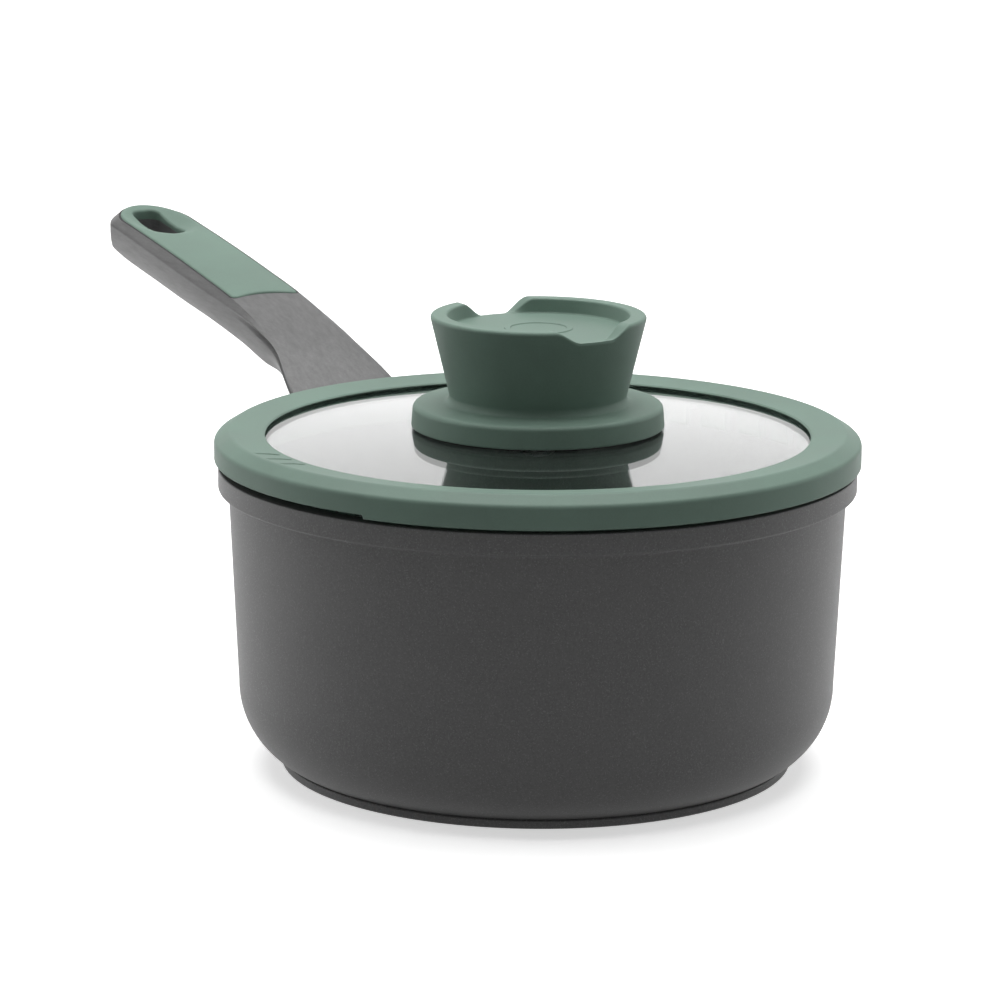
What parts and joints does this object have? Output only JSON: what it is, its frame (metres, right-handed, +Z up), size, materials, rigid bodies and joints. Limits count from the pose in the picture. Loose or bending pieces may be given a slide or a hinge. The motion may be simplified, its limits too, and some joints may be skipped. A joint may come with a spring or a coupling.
{
  "type": "saucepan with glass lid",
  "caption": "Round saucepan with a raised long handle and a lift-off domed glass lid with silicone rim, vent slots and a broad notched knob.",
  "frame": {"origin": "on the pan's axis, on the surface the pan stands on", "axes": "+Z up along the pan's axis; the handle runs out along -X"},
  "size_m": [0.3532, 0.173, 0.122],
  "materials": {
    "coated_aluminium": "matt grey speckled non-stick coating on cast aluminium",
    "base_steel": "brushed, perforated",
    "brass": "turned",
    "handle_plastic": "fine matt texture",
    "black_plastic": "matt moulded",
    "plug_plastic": "matt moulded",
    "handle_silicone": "matt soft-touch silicone",
    "rim_silicone": "matt silicone",
    "knob_silicone": "matt silicone",
    "black_rubber": "matt",
    "screw_steel": "zinc plated",
    "lid_glass": "clear tempered"
  },
  "bodies": {
    "pan": {"pan_body": "coated_aluminium", "induction_plate": "base_steel", "lug_insert": "brass", "handle_body": "handle_plastic", "inlay_carrier": "black_plastic", "handle_inlay": "handle_silicone", "handle_screw": "screw_steel", "handle_flat_washer": "screw_steel", "handle_spring_washer": "screw_steel", "handle_screw_plug": "plug_plastic"},
    "lid_pivot": {"knob_screw": "screw_steel", "knob_washer": "screw_steel", "knob_spring_washer": "screw_steel"},
    "lid": {"lid_glass": "lid_glass", "lid_rim": "rim_silicone", "glass_grommet": "black_rubber", "knob_gasket": "black_rubber", "knob_cover": "knob_silicone", "knob_core": "black_plastic", "knob_insert": "brass"}
  },
  "joints": [
    {"name": "lid_lift", "type": "slide", "parent": "pan", "child": "lid_pivot", "axis": [0, 0, 1], "range_m": [0, 0.12]},
    {"name": "lid_turn", "type": "hinge", "parent": "lid_pivot", "child": "lid", "pos_m": [0, 0, 0.09], "axis": [0, 0, 1], "continuous": true}
  ]
}
